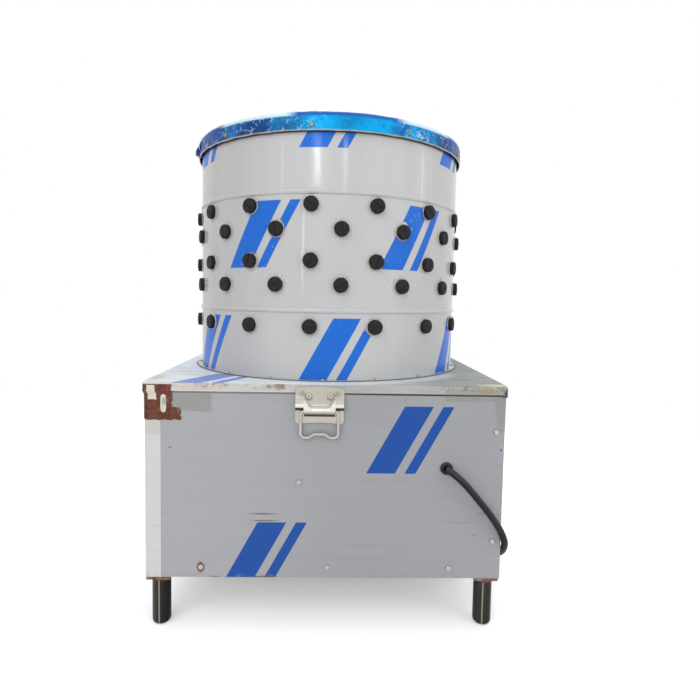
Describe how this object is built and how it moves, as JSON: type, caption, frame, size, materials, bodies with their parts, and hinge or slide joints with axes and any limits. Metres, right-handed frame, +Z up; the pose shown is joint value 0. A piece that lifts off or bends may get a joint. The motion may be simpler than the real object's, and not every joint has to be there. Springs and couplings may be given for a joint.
{
  "type": "poultry plucker",
  "caption": "Drum poultry plucker: steel tub studded with rubber fingers on a boxed stand with legs, over a belt-driven finger plate, with chest handles and a power cord.",
  "frame": {"origin": "on the floor under the drum's axis, midway between the four feet", "axes": "+Z up along the drum's axis, -Y out of the front panel with the cord, +X to the right as seen from the front"},
  "size_m": [0.6528, 0.8571, 0.894],
  "materials": {
    "frame_paint": "satin grey paint",
    "weld_steel": "welded, rusted at the seam",
    "leg_steel": "polished tube",
    "plate_steel": "satin sheet with protective film",
    "panel_steel": "satin sheet with protective film",
    "fold_steel": "bright folded sheet with protective film",
    "drum_steel": "satin rolled sheet with protective film",
    "rim_film": "crinkled blue protective film on steel",
    "bright_steel": "zinc-plated fasteners",
    "finger_rubber": "matt black natural rubber",
    "stainless": "brushed stainless sheet",
    "machined_steel": "turned steel",
    "cast_iron": "grey cast iron",
    "motor_paint": "blue-grey paint",
    "belt_rubber": "fabric-covered belt",
    "handle_nickel": "warm nickel plate",
    "switch_plastic": "matt dark grey plastic",
    "start_green": "green plastic",
    "stop_red": "red plastic",
    "cord_rubber": "black rubber sheath"
  },
  "bodies": {
    "machine": {"base_frame": "frame_paint", "corner_posts": "frame_paint", "top_frame": "frame_paint", "cross_rails": "frame_paint", "upper_bridge": "frame_paint", "lower_bridge": "frame_paint", "motor_rails": "frame_paint", "motor_plate": "frame_paint", "leg_plates": "weld_steel", "legs": "leg_steel", "foot_caps": "leg_steel", "top_plate": "plate_steel", "front_panel": "panel_steel", "right_panel": "panel_steel", "rear_panel": "panel_steel", "left_panel": "fold_steel", "drum_shell": "drum_steel", "drum_rim": "rim_film", "panel_screws": "bright_steel", "rim_screws": "bright_steel", "flange_rivets": "bright_steel", "handle_rivets": "bright_steel", "bearing_bolts": "bright_steel", "motor_bolts": "bright_steel", "wall_fingers_row_1": "finger_rubber", "wall_fingers_row_2": "finger_rubber", "wall_fingers_row_3": "finger_rubber", "wall_fingers_row_4": "finger_rubber", "wall_fingers_row_5": "finger_rubber", "feather_pan": "stainless", "outlet_sleeve": "stainless", "bearing_housings": "cast_iron", "motor_stator": "motor_paint", "motor_end_bells": "motor_paint", "fan_cover": "motor_paint", "terminal_box": "motor_paint", "drive_belts": "belt_rubber", "front_handle_plate": "handle_nickel", "rear_handle_plate": "handle_nickel", "switch_plate": "switch_plastic", "cord_grommet": "cord_rubber", "power_cord": "cord_rubber", "cord_coil": "cord_rubber", "cord_tie": "cord_rubber", "plug": "cord_rubber"},
    "rotor": {"turntable": "stainless", "turntable_hub": "cast_iron", "hub_bolts": "bright_steel", "shaft_cap": "stainless", "plate_fingers": "finger_rubber", "sweepers": "finger_rubber", "main_shaft": "machined_steel", "bearing_inserts": "machined_steel", "driven_pulley": "cast_iron"},
    "motor_rotor": {"motor_shaft": "machined_steel", "motor_pulley": "cast_iron"},
    "front_bail_loop": {"front_bail": "handle_nickel"},
    "rear_bail_loop": {"rear_bail": "handle_nickel"},
    "start_key": {"start_button": "start_green"},
    "stop_key": {"stop_button": "stop_red"}
  },
  "joints": [
    {"name": "turntable_spin", "type": "hinge", "parent": "machine", "child": "rotor", "pos_m": [0, 0, 0.43], "axis": [0, 0, 1], "continuous": true},
    {"name": "motor_spin", "type": "hinge", "parent": "machine", "child": "motor_rotor", "pos_m": [0.15, -0.15, 0.123], "axis": [0, 0, 1], "continuous": true},
    {"name": "front_bail_swing", "type": "hinge", "parent": "machine", "child": "front_bail_loop", "pos_m": [-0.011, -0.3147, 0.386], "axis": [-1, 0, 0], "range_deg": [0, 90]},
    {"name": "rear_bail_swing", "type": "hinge", "parent": "machine", "child": "rear_bail_loop", "pos_m": [0.011, 0.3147, 0.386], "axis": [1, 0, 0], "range_deg": [0, 90]},
    {"name": "start_press", "type": "slide", "parent": "machine", "child": "start_key", "axis": [0, -1, 0], "range_m": [0, 0.003], "stiffness_N_per_m": 400},
    {"name": "stop_press", "type": "slide", "parent": "machine", "child": "stop_key", "axis": [0, -1, 0], "range_m": [0, 0.003], "stiffness_N_per_m": 400}
  ],
  "couplings": [
    {"joint": "motor_spin", "follows": "turntable_spin", "ratio": 5.3223}
  ]
}
